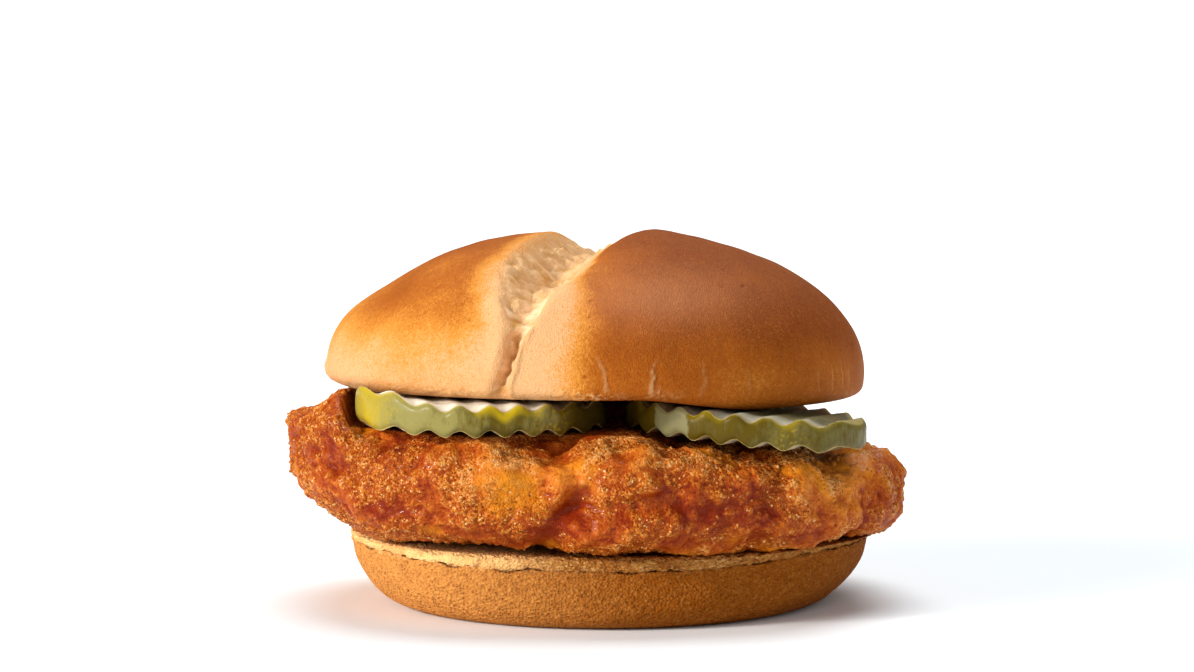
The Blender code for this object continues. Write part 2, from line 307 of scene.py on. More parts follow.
def outward(places, quads):
    """Give the unit normal at each place of a quad mesh."""
    edge = places[quads[:, 2]] - places[quads[:, 0]], places[quads[:, 3]] - places[quads[:, 1]]
    facing = np.cross(*edge)
    total = np.zeros_like(places)
    for corner in range(4):
        for axis in range(3):
            total[:, axis] += np.bincount(quads[:, corner], facing[:, axis], len(places))
    return unit(total)


def add_object(name, data):
    """Put a new object in the scene."""
    made = bpy.data.objects.new(name, data)
    bpy.context.scene.collection.objects.link(made)
    return made


def mesh_piece(name, places, faces, measures, material, node):
    """Make a smooth mesh object that replaces its CAD node and rides on the one body."""
    mesh = bpy.data.meshes.new(name)
    mesh.from_pydata(places.tolist(), [], [face for group in faces for face in group.tolist()])
    mesh.shade_smooth()
    for label, values in measures.items():
        kept = np.zeros(len(places), np.float32)
        kept[:len(values)] = values
        mesh.attributes.new(label, "FLOAT", "POINT").data.foreach_set("value", kept)
    mesh.materials.append(material)
    mesh.validate()
    piece = add_object(name, mesh)
    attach(piece, "root")
    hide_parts(node)
    return piece


# Small tools for materials


SHADER = "Principled BSDF"


def add_node(tree, kind, inputs=None, **settings):
    """Add a node: set its properties, and set or link its inputs."""
    node = tree.nodes.new(kind)
    for name, value in settings.items():
        setattr(node, name, value)
    for socket, value in (inputs or {}).items():
        if isinstance(value, bpy.types.NodeSocket):
            tree.links.new(value, node.inputs[socket])
        else:
            node.inputs[socket].default_value = value
    return node


def start_material(name, **constants):
    """Start a material with a Principled shader whose constants are set on its own sockets."""
    material = bpy.data.materials.new(name)
    material.use_nodes = True
    for socket, value in constants.items():
        inputs = material.node_tree.nodes[SHADER].inputs
        inputs[socket.replace("_", " ")].default_value = value
    return material, material.node_tree


def finish_material(material, colour, height, strength, distance, **links):
    """Link a colour, a fine relief and any other sockets to the material's shader."""
    tree = material.node_tree
    relief = add_node(tree, "ShaderNodeBump", {
        "Height": height, "Strength": strength, "Distance": distance})
    for socket, value in {"Base Color": colour, "Normal": relief.outputs[0], **links}.items():
        tree.links.new(value, tree.nodes[SHADER].inputs[socket])
    return material


def mix_colours(tree, share, first, second):
    """Mix two colours by a share, each a socket or a colour."""
    inputs = {0: share}
    for index, value in ((6, first), (7, second)):
        inputs[index] = value if isinstance(value, bpy.types.NodeSocket) else (*value, 1.0)
    return add_node(tree, "ShaderNodeMix", inputs, data_type="RGBA").outputs[2]


def colour_ramp(tree, value, *stops):
    """Turn a value into a colour between stops, each a position and a colour."""
    node = add_node(tree, "ShaderNodeValToRGB", {"Fac": value})
    elements = node.color_ramp.elements
    for index, (position, colour) in enumerate(stops):
        element = elements[index] if index < 2 else elements.new(position)
        element.position = position
        element.color = (*colour, 1.0)
    return node.outputs[0]


def measure(tree, label):
    """Read one of the mesh's own measures."""
    return add_node(tree, "ShaderNodeAttribute", attribute_name=label).outputs["Fac"]


def layered(tree, colour, **layers):
    """Lay colours over a first one, each where the measure of its name says."""
    for label, layer in layers.items():
        colour = mix_colours(tree, measure(tree, label), colour, layer)
    return colour


def object_place(tree, stretch):
    """Give the place on the object, with each axis stretched."""
    place = add_node(tree, "ShaderNodeTexCoord").outputs["Object"]
    return add_node(tree, "ShaderNodeMapping", {"Vector": place, "Scale": stretch}).outputs[0]


def object_noise(tree, size, detail=3.0, roughness=0.55, stretch=(1.0, 1.0, 1.0)):
    """Noise whose lumps are about a given size in metres."""
    return add_node(tree, "ShaderNodeTexNoise", {
        "Vector": object_place(tree, stretch), "Scale": 1.0 / size, "Detail": detail,
        "Roughness": roughness,
    }).outputs["Fac"]


def grains(tree, size, stretch=(1.0, 1.0, 1.0)):
    """Grains of about a given size in metres: how far a grain's middle is, and its number."""
    cells = add_node(tree, "ShaderNodeTexVoronoi", {
        "Vector": object_place(tree, stretch), "Scale": 1.0 / size})
    number = add_node(tree, "ShaderNodeSeparateColor", {0: cells.outputs["Color"]}).outputs[0]
    return cells.outputs["Distance"], number


def calculate(tree, operation, *values):
    """Calculate with two or three values."""
    inputs = dict(enumerate(values))
    return add_node(tree, "ShaderNodeMath", inputs, operation=operation).outputs[0]


def sway(tree, value, weight, onto):
    """Add a value from 0 to 1, centred and weighted, onto another."""
    centred = calculate(tree, "ADD", value, -0.5)
    return calculate(tree, "MULTIPLY_ADD", centred, weight, onto)


def product(tree, first, second):
    """Multiply two shares."""
    return calculate(tree, "MULTIPLY", first, second)


def share_of(tree, value, start, end, top):
    """Give a share that rises from 0 at start to top at end."""
    return add_node(tree, "ShaderNodeMapRange", {
        "Value": value, "From Min": start, "From Max": end, "To Max": top}).outputs[0]


def from_to(tree, share, low, high):
    """Give a number that goes from low to high as a share goes from 0 to 1."""
    return add_node(tree, "ShaderNodeMapRange", {
        "Value": share, "To Min": low, "To Max": high}).outputs[0]


# Bottom bun


def wall_material(look):
    """Baked bread wall: matt and sandy, because the dough's skin is dry and finely pitted."""
    material, tree = start_material(
        "baked bread wall", Roughness=0.8, IOR=1.45, Subsurface_Weight=0.05,
        Subsurface_Radius=(0.004, 0.002, 0.001), Subsurface_Scale=0.5, Specular_IOR_Level=0.06,
    )
    # Darker towards +X: partly real browning, partly painted shade.
    browned = measure(tree, "browned")
    mottle = object_noise(tree, 2.0 * MM, 5.0, 0.75)
    fine = object_noise(tree, 0.9 * MM, 3.0, 0.8, (1.0, 1.0, 1.4))
    centre, number = grains(tree, 0.6 * MM, (1.0, 1.0, 1.2))
    spots = product(tree, calculate(tree, "ADD", mottle, fine), 0.5)
    wall = mix_colours(tree, browned, look.wall, look.wall_brown)
    wall = mix_colours(tree, share_of(tree, spots, 0.54, 0.42, 0.35), wall, look.wall_dark)
    # Pale grains mostly on the paler, lit side: partly painted light.
    pale = product(tree, share_of(tree, number, 0.62, 0.95, 0.6),
                   share_of(tree, browned, 1.3, 0.0, 1.0))
    wall = mix_colours(tree, pale, wall, look.wall_light)
    pit = product(tree, share_of(tree, number, 0.4, 0.2, 0.5),
                  share_of(tree, centre, 0.6, 0.3, 1.0))
    wall = mix_colours(tree, pit, wall, look.wall_pit)
    toast = colour_ramp(tree, spots, (0.42, look.crumb_dark), (0.6, look.crumb))
    # Painted light: the crumb paler on the left, where the fillet shades it.
    toast = mix_colours(tree, share_of(tree, browned, 0.7, 0.3, 1.0), toast, look.crumb_light)
    fibres = object_noise(tree, 0.6 * MM, 3.0, 0.7, (0.5, 1.0, 1.6))
    toast = mix_colours(tree, share_of(tree, fibres, 0.54, 0.64, 0.5), toast, look.crumb_light)
    # Painted shade in the seam's groove and the deepest pits.
    colour = layered(tree, wall, crumb=toast, slit=look.slit)
    return finish_material(material, colour, sway(tree, fine, 1.0, centre), 1.0, 0.45 * MM)


HEEL_TOP = 13.4 * MM
HEEL_FOOT_SHIFT = (-0.9 * MM, -3.0 * MM)
HEEL_FOOT_NARROWING = 0.07
HEEL_SEGMENTS = 900
HEEL_REACH = 56.4 * MM


def heel_section(look):
    """Give the bottom bun's section as radii and heights, foot to top, closely spaced."""
    turn = np.linspace(0.0, 0.5 * math.pi, 30)
    reach = look.radius - look.foot_radius
    radii = [np.array([0.2, 0.5, 0.8]) * look.foot_radius]
    heights = [np.zeros(3)]
    radii.append(look.foot_radius + reach * np.sin(turn) ** 0.9)
    heights.append((look.seam - 1.6 * MM) * (1.0 - np.cos(turn)))
    band = look.radius + 0.3 * MM
    corners = [
        (look.radius + 0.1 * MM, look.seam), (look.radius - 0.5 * MM, look.seam + 0.35 * MM),
        (band, look.seam + 0.9 * MM), (band + 0.2 * MM, HEEL_TOP - 0.7 * MM),
        (band - 0.6 * MM, HEEL_TOP), (look.radius - 9.0 * MM, HEEL_TOP),
    ]
    start = (radii[-1][-1], heights[-1][-1])
    for end, steps in zip(corners, (6, 4, 4, 9, 5, 22)):
        share = np.linspace(0.0, 1.0, steps + 1)[1:]
        radii.append(start[0] + (end[0] - start[0]) * share)
        heights.append(start[1] + (end[1] - start[1]) * share)
        start = end
    radii.append(np.array([0.6, 0.3, 0.08]) * look.radius)
    heights.append(np.full(3, HEEL_TOP))
    return np.concatenate(radii), np.concatenate(heights)


def make_bottom_bun(look):
    """Make the bottom bun with its sandy wall and ragged crumb rim."""
    radii, heights = heel_section(look)
    heading = np.linspace(0.0, math.tau, HEEL_SEGMENTS, endpoint=False)
    swell = 0.5 * MM * np.sin(2.0 * heading + 0.6) + 0.3 * MM * np.sin(5.0 * heading)
    towards = (heading + math.pi) % math.tau - math.pi
    seam_lift = 1.2 * MM * ramp(0.3, 1.0, -np.cos(heading))
    seam_lift = seam_lift + 1.7 * MM * ramp(0.2, 0.9, np.cos(heading))
    flare = look.flare * bump(towards, -0.1, 0.55)
    foot = 1.0 - ramp(0.0, look.seam, heights)
    outer = ramp(0.9 * look.foot_radius, look.foot_radius, radii)
    radius = radii[:, None] + outer[:, None] * (
        swell[None] * (1.0 - foot[:, None])
        + flare[None] * ramp(look.seam, HEEL_TOP, heights)[:, None])
    x = radius * np.cos(heading) * (1.0 - HEEL_FOOT_NARROWING * foot[:, None])
    x += HEEL_FOOT_SHIFT[0] * foot[:, None]
    y = radius * np.sin(heading) + HEEL_FOOT_SHIFT[1] * foot[:, None]
    near_seam = bump(heights, look.seam + 0.3 * MM, 2.2 * MM)
    z = heights[:, None] + near_seam[:, None] * seam_lift[None]
    z = np.minimum(z, HEEL_TOP + 0.8 * MM * ramp(0.2, 1.0, -np.cos(heading))[None])
    places = np.stack([x, y, z], -1).reshape(-1, 3)
    rows, columns = x.shape
    index = np.arange(rows * columns).reshape(rows, columns)
    turned = np.roll(index, -1, axis=1)
    quads = np.stack([index[:-1], turned[:-1], turned[1:], index[1:]], -1).reshape(-1, 4)
    normal = outward(places, quads)
    level = np.repeat(heights, columns)
    reach = np.repeat(radii, columns)
    wall = ramp_mm(0.3, 2.0, level) * ramp(look.seam + 0.1 * MM, look.seam, level)
    seam_wander = soft_noise(places, 6.0 * MM, 3) * 0.25 * MM
    seam_wander += 0.3 * MM * ramp(0.0, 0.5, soft_noise(places, 1.6 * MM, 4))
    crumb = ramp(look.seam - 0.1 * MM, look.seam + 0.7 * MM, level + seam_wander)
    crumb *= 0.55 + 0.45 * ramp(-0.35, 0.25, soft_noise(places, 7.0 * MM, 19))
    rim = ramp(look.seam, look.seam + 0.4 * MM, level + seam_wander)
    rim *= ramp(look.radius - 8.0 * MM, look.radius - 2.0 * MM, reach)
    stretched = places * (1.0, 1.0, 1.5)
    pits, chance = nearest_lump(stretched, look.grain, 5)
    sand = soft_noise(stretched, look.grain * 0.7, 7)
    pitted = ramp(0.42, 0.18, pits) * (chance > 0.45) * ramp(
        -0.5, 0.3, soft_noise(places, 5.0 * MM, 8)) * ramp(look.seam, 7.0 * MM, level)
    relief = wall * (0.07 * MM * sand - 0.2 * MM * pitted)
    relief += wall * 0.22 * MM * soft_noise(places, 7.0 * MM, 9)
    holes, _ = nearest_lump(places, 1.9 * MM, 11)
    crumbs = rough_noise(places, 2.2 * MM, 4, 13)
    relief += rim * (0.34 * MM * crumbs - 0.45 * MM * ramp(0.34, 0.12, holes))
    closed = ramp(-0.05, 0.3, soft_noise(places * (1.0, 1.0, 0.0), 14.0 * MM, 16))
    slit_line = look.seam + 0.3 * MM + wobble(places * (1.0, 1.0, 0.0), (0.5, 5.0, 17))
    slit = bump(level, slit_line, 0.16 * MM) * (1.0 - closed)
    ledge = bump(level, look.seam + 0.35 * MM, 0.5 * MM)
    relief += ledge * 0.42 * MM - slit * 0.6 * MM
    places = places + normal * relief[:, None]
    places[:, 2] = np.clip(places[:, 2], 0.0, HEEL_TOP + 0.05 * MM)
    centres = np.array([[0.0, 0.0, 0.0], [0.0, 0.0, HEEL_TOP]])
    centres[0, :2] = HEEL_FOOT_SHIFT
    count = len(places)
    below = np.stack([index[0], np.full(columns, count), turned[0]], -1)
    above = np.stack([index[-1], turned[-1], np.full(columns, count + 1)], -1)
    places = np.concatenate([places, centres])
    measures = {
        # Painted shade: the groove along the seam and the deepest pits darkened.
        "crumb": crumb, "slit": np.clip(slit + 0.45 * wall * pitted, 0.0, 0.85),
        # Darker towards +X: partly real browning, partly painted shade.
        "browned": ramp_mm(-46.0, 12.0, places[:, 0]),
    }
    mesh_piece("heel_bread", places, (quads, below, above), measures, wall_material(look),
               "bottom_bun")


class BURGER_OT_bottom_bun(bpy.types.Operator):
    """Make the bottom bun with its sandy wall and ragged crumb rim"""

    bl_idname = "burger.bottom_bun"
    bl_label = "Bottom bun"

    def execute(self, context):
        make_bottom_bun(context.scene.burger_heel)
        return {"FINISHED"}


# Top bun

CROWN_X = -2.6 * MM
CROWN_LEAN = 0.033
CROWN_DOME_POWER = 2.2
CROWN_UNDERSIDE = 41.8 * MM
CROWN_SAG = 2.4 * MM
CROWN_SAG_START = 3.4 * MM
CROWN_SAG_END = 27.4 * MM
CROWN_TUCK = 0.12
CROWN_TUCK_POWER = 3.2
CROWN_CELLS = 264
CROWN_WALL_CELLS = 76
CROWN_WALL_SHARE = 0.68
CROWN_TUCK_SHARE = 0.32
CROWN_EDGE_TURN = 0.7
CROWN_SPLIT_CLOSENESS = 0.42
CROWN_SPLIT_SLANT = 0.3
CROWN_SPLIT_SHIFT = 0.02
CROWN_MEAN_RADIUS = 51.0 * MM
SPLIT_TOP_X = -3.6 * MM
SPLIT_SLOPE = 0.275
SPLIT_BEHIND_REACH = 9.0 * MM
SPLIT_LOW_LEAN = 0.27
SPLIT_LOW_START = 55.0 * MM
SPLIT_LOW_REACH = 13.0 * MM
SPLIT_FRONT_Y = -52.0 * MM
SPLIT_WIDE_Y = -30.0 * MM
SPLIT_CLOSING_Y = 18.0 * MM
SPLIT_END_Y = 48.0 * MM
SPLIT_RIM_DEPTH = 0.6 * MM
SPLIT_TOP_DEPTH = 4.5 * MM
SPLIT_RIM_WIDTH = 2.4 * MM
SPLIT_LEFT_WIDTH = 9.0 * MM
SPLIT_RIGHT_WIDTH = 12.5 * MM


def crown_underside(x):
    """Height of the top bun's cut underside, which sags towards +X."""
    return CROWN_UNDERSIDE - CROWN_SAG * ramp(CROWN_SAG_START, CROWN_SAG_END, x)


def split_middle(places):
    """Where the split's bottom lies, as x for each place."""
    y = places[:, 1]
    behind = np.maximum(y, 0.0)
    line = SPLIT_SLOPE * np.minimum(y, 0.0)
    line += SPLIT_SLOPE * behind * np.exp(-behind / SPLIT_BEHIND_REACH)
    low = np.clip(SPLIT_LOW_START - places[:, 2], 0.0, SPLIT_LOW_REACH) * (y < SPLIT_WIDE_Y)
    return SPLIT_TOP_X + line - SPLIT_LOW_LEAN * low


def split_depth(across, y, deepest_place):
    """How deep the split cuts into the dome."""
    opening = ramp(SPLIT_FRONT_Y, SPLIT_WIDE_Y, y)
    closing = 1.0 - ramp(SPLIT_CLOSING_Y, SPLIT_END_Y, y)
    settle = ramp(SPLIT_WIDE_Y, 0.0, y)
    widest = deepest_place + (SPLIT_TOP_DEPTH - deepest_place) * settle
    deepest = (SPLIT_RIM_DEPTH + (widest - SPLIT_RIM_DEPTH) * opening) * closing
    full_width = np.where(across < 0.0, SPLIT_LEFT_WIDTH, SPLIT_RIGHT_WIDTH)
    width = SPLIT_RIM_WIDTH + (full_width - SPLIT_RIM_WIDTH) * opening
    return deepest * (1.0 - ramp(0.0, 1.0, np.abs(across) / width))


def crowd_columns(lattice):
    """Draw the lattice's columns together along the split."""
    across, along = lattice[:, 0], lattice[:, 1]
    middle = CROWN_SPLIT_SLANT * np.minimum(along, 0.0) - CROWN_SPLIT_SHIFT
    side = np.where(across < middle, -1.0, 1.0)
    share = (across - middle) / (side - middle)
    pulled = share * (CROWN_SPLIT_CLOSENESS + (1.0 - CROWN_SPLIT_CLOSENESS) * share ** 2)
    return middle + (side - middle) * pulled


def crown_form(look):
    """Give the plain top bun: places, quads and level (1 peak, 0 widest, -1 underside)."""
    lattice, quads = box_lattice(CROWN_CELLS, CROWN_CELLS, CROWN_WALL_CELLS, open_below=True)
    lattice[:, 0] = crowd_columns(lattice)
    ring = np.maximum(np.abs(lattice[:, 0]), np.abs(lattice[:, 1]))
    down = (1.0 - lattice[:, 2]) * 0.5
    top_face = lattice[:, 2] > 0.9999
    wall_turn = (1.0 - CROWN_EDGE_TURN) * np.minimum(down / CROWN_WALL_SHARE, 1.0)
    turn = np.where(top_face, ring * CROWN_EDGE_TURN, CROWN_EDGE_TURN + wall_turn)
    tuck = np.clip((down - CROWN_WALL_SHARE) / CROWN_TUCK_SHARE, 0.0, 1.0) * 0.5 * math.pi
    turn = turn * 0.5 * math.pi
    share = np.sin(turn) ** (2.0 / CROWN_DOME_POWER)
    level = np.maximum(np.cos(turn), 0.0)
    inset = 1.0 - np.maximum(np.cos(tuck), 0.0) ** (2.0 / CROWN_TUCK_POWER)
    share = np.where(tuck > 0.0, 1.0 - CROWN_TUCK * inset, share)
    level = np.where(tuck > 0.0, -np.sin(tuck) ** (2.0 / CROWN_TUCK_POWER), level)
    x, y = (unit(lattice[:, :2]) * share[:, None] * look.radius).T
    equator = look.equator - CROWN_LEAN * x
    above = equator + (look.peak - equator) * level
    above += level * 0.6 * MM * bump_mm(x, 10.0, 8.0)
    above -= level * 3.4 * MM * bump_mm(x, -44.0, 12.0)
    below = equator + (equator - crown_underside(x + CROWN_X)) * level
    z = np.where(level >= 0.0, above, below)
    return lattice, np.stack([x + CROWN_X, y, z], -1), quads, level


def torn_widths(y):
    """How far torn crumb shows to the left and right of the split's middle."""
    stations = np.array([-53.0, -49.5, -45.0, -40.0, -31.0, -20.0, 0.0, 20.0, 40.0, 47.0]) * MM
    left = np.array([0.5, 0.8, 3.2, 5.0, 7.6, 5.6, 5.0, 4.0, 1.0, 0.0]) * MM
    right = np.array([0.5, 0.8, 2.8, 3.8, 5.2, 4.4, 3.6, 2.8, 0.8, 0.0]) * MM
    return np.interp(y, stations, left), np.interp(y, stations, right)


def crust_material(look):
    """Egg-glazed crust: a thin baked glaze over golden-brown dough; its soft broad shine is a
    painted sheen, and part of the browning is painted shade.
    """
    material, tree = start_material(
        "egg-glazed bun crust", Roughness=0.55, IOR=1.45, Subsurface_Weight=0.06,
        Subsurface_Radius=(0.004, 0.002, 0.001), Subsurface_Scale=0.5, Specular_IOR_Level=0.05,
        Coat_Weight=0.008, Coat_Roughness=0.3, Coat_IOR=1.45,
    )
    broad = object_noise(tree, 14.0 * MM, 4.0, 0.55)
    fine = object_noise(tree, 0.75 * MM, 4.0, 0.7)
    centre, number = grains(tree, 0.3 * MM)
    # Browning from the mesh, part of it painted shade, swayed by noise.
    baked = measure(tree, "bake")
    for noisy, weight in ((broad, 0.6), (fine, 0.5), (number, 0.2)):
        baked = sway(tree, noisy, weight, baked)
    crust = colour_ramp(tree, baked, (0.0, look.pale), (0.33, look.golden), (0.66, look.brown),
                        (1.0, look.dark))
    cloudy = object_noise(tree, 3.2 * MM, 4.0, 0.6)
    crumb = colour_ramp(tree, cloudy, (0.3, look.skin), (0.5, look.crumb))
    # Painted sheen on the higher lobe's front.
    colour = layered(tree, crust, bloom=look.bloom)
    # Pale golden specks: partly fine speckle of the crust, partly painted glints.
    colour = mix_colours(tree, share_of(tree, number, 0.7, 1.0, 0.22), colour, look.golden)
    burnt = product(tree, share_of(tree, number, 0.3, 0.0, 0.4),
                    share_of(tree, baked, 0.35, 0.75, 1.0))
    colour = mix_colours(tree, burnt, colour, look.dark)
    colour = layered(tree, colour, crumb=crumb, skin=look.skin, hollow=look.hollow, fold=look.fold)
    return finish_material(material, colour, sway(tree, fine, 1.0, centre), 0.7, 0.22 * MM,
                           Roughness=from_to(tree, measure(tree, "crumb"), 0.55, 0.85))


# Wrinkles in the skin near the base: degrees round from +X, top and bottom in mm, lean in mm,
# strength. The first ones are those that show in front, and the rest go on round the back.
WRINKLES = [
    (-88.0, 50.5, 43.5, 1.6, 0.6), (-79.8, 49.5, 42.8, -1.4, 0.9), (-77.4, 45.0, 42.5, 0.8, 0.35),
    (-68.6, 49.0, 42.5, -0.3, 0.3), (-58.0, 48.0, 42.5, 0.2, 0.25), (-38.0, 46.5, 42.0, 0.4, 0.3),
    (-33.0, 47.0, 42.0, -0.5, 0.45), (-28.0, 48.0, 42.5, 0.6, 0.4), (-24.0, 46.0, 42.5, 0.3, 0.3),
    (-122.0, 56.0, 51.0, 2.0, 0.3), (-126.0, 51.0, 46.5, 1.2, 0.3), (-131.0, 52.5, 47.0, -1.0, 0.3),
    (-137.0, 50.0, 45.5, 1.4, 0.3), (-142.0, 47.0, 43.5, 0.4, 0.3), (-115.0, 46.0, 42.5, 0.5, 0.3),
]
WRINKLES_BEHIND = 34
WRINKLE_WIDTH = 0.22 * MM


def wrinkle_lines(places, heading):
    """Give how much of a wrinkle's raised pale line, and of its dark side, is at each place."""
    lines = list(WRINKLES)
    for number in range(WRINKLES_BEHIND):
        drawn = cell_random(np.array([[number, 1, 2], [number, 5, 8]]), 301).ravel()
        top = 45.0 + 7.0 * drawn[1]
        lines.append((-18.0 + 226.0 * (number + drawn[0]) / WRINKLES_BEHIND, top,
                      top - 2.0 - 4.0 * drawn[2], 3.0 * drawn[3] - 1.5, 0.15 + 0.35 * drawn[4]))
    raised = np.zeros(len(places))
    sunk = np.zeros(len(places))
    wander = wobble(places, (0.5, 2.4, 303), (0.25, 0.9, 304))
    for degrees, top, bottom, lean, strength in lines:
        turned = (heading - math.radians(degrees) + math.pi) % math.tau - math.pi
        share = (places[:, 2] - bottom * MM) / ((top - bottom) * MM)
        aside = turned * CROWN_MEAN_RADIUS + lean * MM * share + wander
        length = ramp(-0.1, 0.15, share) * ramp(1.1, 0.6, share) * strength
        raised = np.maximum(raised, bump(aside, 0.0, WRINKLE_WIDTH) * length)
        sunk = np.maximum(sunk, bump_mm(aside, 0.7, 0.5) * length)
    return raised, sunk


def make_top_bun(look):
    """Make the split-top bun with its torn crumb."""
    lattice, places, quads, level = crown_form(look)
    normal = outward(places, quads)
    x, y, z = places.T
    across = x - split_middle(places)
    fade = ramp(-0.9, -0.2, level)
    left, right = torn_widths(y)
    ragged = wobble(places, (0.9, 3.0, 21), (0.35, 0.9, 22))
    ragged *= ramp_mm(0.0, 2.0, left)
    left_edge = -left + ragged
    right_edge = right + 0.7 * ragged
    blend = (0.18 + 1.6 * ramp(-44.0, -36.0, y / MM)) * MM
    torn_left = ramp(-blend, blend, across - left_edge)
    torn_right = ramp_mm(0.9, -0.3, across - right_edge)
    torn = torn_left * torn_right * fade * ramp(SPLIT_END_Y, 38.0 * MM, y)
    depth = split_depth(across, y, look.split_depth) * fade
    low_part = ramp_mm(62.0, 58.0, z) * ramp_mm(-20.0, -32.0, y)
    lip = bump(across, left_edge - 1.3 * MM, 1.2 * MM) * ramp_mm(-52.0, -44.0, y)
    sunken = places - normal * depth[:, None]
    crumbly = rough_noise(sunken, 4.4 * MM, 4, 31)
    flake, _ = nearest_lump(sunken + 0.5 * MM * crumbly[:, None], 2.8 * MM, 33)
    step = look.torn_edge * (0.2 + 0.6 * low_part)
    relief = -depth - step * torn + (0.7 * crumbly + 1.5 * (0.5 - flake)) * MM * torn
    relief += 0.4 * MM * lip * fade * low_part
    relief += 1.1 * MM * bump(level, -0.4, 0.4) * ramp_mm(-30.0, -50.0, x)
    wander = wobble(places, (0.9, 3.6, 41), (0.3, 1.1, 42))
    crack_zone = ramp_mm(-46.0, -48.5, y) * ramp(-1.0, -0.8, level)
    crack_width = 0.75 * MM + 0.6 * MM * ramp_mm(46.0, 42.0, z)
    crack = bump(across, wander, crack_width) * crack_zone
    relief -= 1.3 * MM * crack
    relief += 0.5 * MM * bump(across, wander + 1.9 * MM, 0.7 * MM) * crack_zone
    uneven = np.array([noise.noise(Vector(place)) for place in places / (26.0 * MM)])
    relief += 0.5 * MM * uneven * fade
    heading = np.arctan2(y, x - CROWN_X)
    raised, sunk = wrinkle_lines(places, heading)
    relief += (0.16 * MM * raised - 0.22 * MM * sunk) * fade * (1.0 - torn)
    relief += wobble(places, (0.13, 5.0, 55)) * fade
    pore, number = nearest_lump(places, 3.6 * MM, 61)
    pits = ramp(0.15, 0.05, pore) * (number > 0.6) * (1.0 - torn) * fade
    relief -= 0.25 * MM * pits
    patchy = ramp(-0.1, 0.4, soft_noise(places, 13.0 * MM, 71))
    patchy = np.maximum(patchy * 0.6, bump_mm(x, -4.0, 5.0) * (y < 0.0))
    rim = bump(level, -0.72, 0.3) * patchy
    relief += 0.4 * MM * rim * rough_noise(places, 1.4 * MM, 3, 73)
    places = places + normal * relief[:, None]
    x, _, z = places.T
    height = (z - CROWN_UNDERSIDE) / (look.peak - CROWN_UNDERSIDE)
    lobe = ramp_mm(-8.0, 8.0, across)
    browned = 0.06 + 0.6 * ramp(0.1, 0.66, height) + 0.12 * ramp(0.6, 0.95, height)
    # The higher lobe is browner: partly real browning, partly painted shade on the side away from
    # the key light.
    browned += lobe * (0.62 * ramp(1.0, 0.2, height) + 0.2 * ramp(0.7, 0.95, height))
    # Painted shade: a browner patch low on the right.
    browned += 0.16 * bump_mm(x, 36.0, 12.0) * bump(height, 0.45, 0.2)
    gilded = ramp_mm(21.0, 4.0, across - right_edge) * (across > 0.0)
    browned -= 0.36 * gilded * ramp_mm(72.0, 64.0, z)
    # Painted shade: a darker band on the higher lobe above the painted sheen.
    browned += 0.16 * lobe * bump_mm(z, 65.5, 2.6) * bump_mm(x, 14.0, 18.0)
    reach = 0.25 + 0.75 * ramp_mm(67.0, 53.0, z)
    pale_right = ramp_mm(18.5, 4.0, (across - right_edge) / reach) * (across > 0.0)
    pale_left = ramp_mm(-9.0, -0.5, across - left_edge) * (across <= 0.0)
    pale_wall = np.maximum(pale_right, pale_left * (0.75 + 0.25 * low_part))
    pale_wall *= ramp_mm(40.0, 18.0, y)
    browned = browned * (1.0 - 0.95 * pale_wall) - 0.12 * pale_wall + 0.25 * pits
    patches = ramp(-0.1, 0.3, soft_noise(sunken, 4.0 * MM, 81)) * ramp(-48.0, -44.0, y / MM)
    patches = np.maximum(patches * 0.8, ramp(-43.0, -36.0, y / MM)) * torn
    speckled = ramp(-0.1, 0.5, soft_noise(places, 0.8 * MM, 83))
    measures = {
        "bake": browned, "crumb": torn, "skin": patches * 0.45,
        "hollow": np.clip(crack * 0.8 + torn * ramp(0.55, 0.9, flake) * 0.4, 0.0, 0.9),
        # Painted sheen: a pinkish patch on the higher lobe's front.
        "bloom": 0.3 * bump_mm(x, 9.0, 15.0) * bump_mm(z, 60.0, 5.0) * (y < 0.0) * lobe,
        "fold": np.clip(raised * 0.55 + 0.7 * rim * speckled, 0.0, 0.85) * (1.0 - torn),
    }
    boundary = np.where(lattice[:, 2] < -0.9999)[0]
    order = np.argsort(np.arctan2(lattice[boundary, 1], lattice[boundary, 0]))
    places, quads, fan = close_below(places, quads, boundary[order], (0.97, 0.9, 0.6, 0.3),
                                     lambda ring: crown_underside(ring[:, 0]))
    mesh_piece("crown_bread", places, (quads, fan), measures, crust_material(look),
               "top_bun")


class BURGER_OT_top_bun(bpy.types.Operator):
    """Make the split-top bun with its torn crumb"""

    bl_idname = "burger.top_bun"
    bl_label = "Top bun"

    def execute(self, context):
        make_top_bun(context.scene.burger_crown)
        return {"FINISHED"}


# Pickles

PICKLES = (
    {
        "node": "pickle_left", "x": -24.1 * MM, "y": -29.8 * MM, "radius": 23.6 * MM,
        "middle": 38.3 * MM, "slope": 0.0, "turn": math.radians(11.0), "upturn": 2.6 * MM,
        "first_ridge": -18.5 * MM,
    },
    {
        "node": "pickle_right", "x": 25.3 * MM, "y": -28.6 * MM, "radius": 22.6 * MM,
        "middle": 36.3 * MM, "slope": -0.098, "turn": math.radians(-20.0), "upturn": 0.0,
        "first_ridge": -6.4 * MM,
    },
)
PICKLE_CELLS = (230, 90, 16)
PICKLE_ROUNDING = 0.75 * MM
PICKLE_LUMP = 0.12 * MM
# Where the painted reflection lies along the right slice's chord.
PICKLE_FILM = (-11.5 * MM, -4.5 * MM)


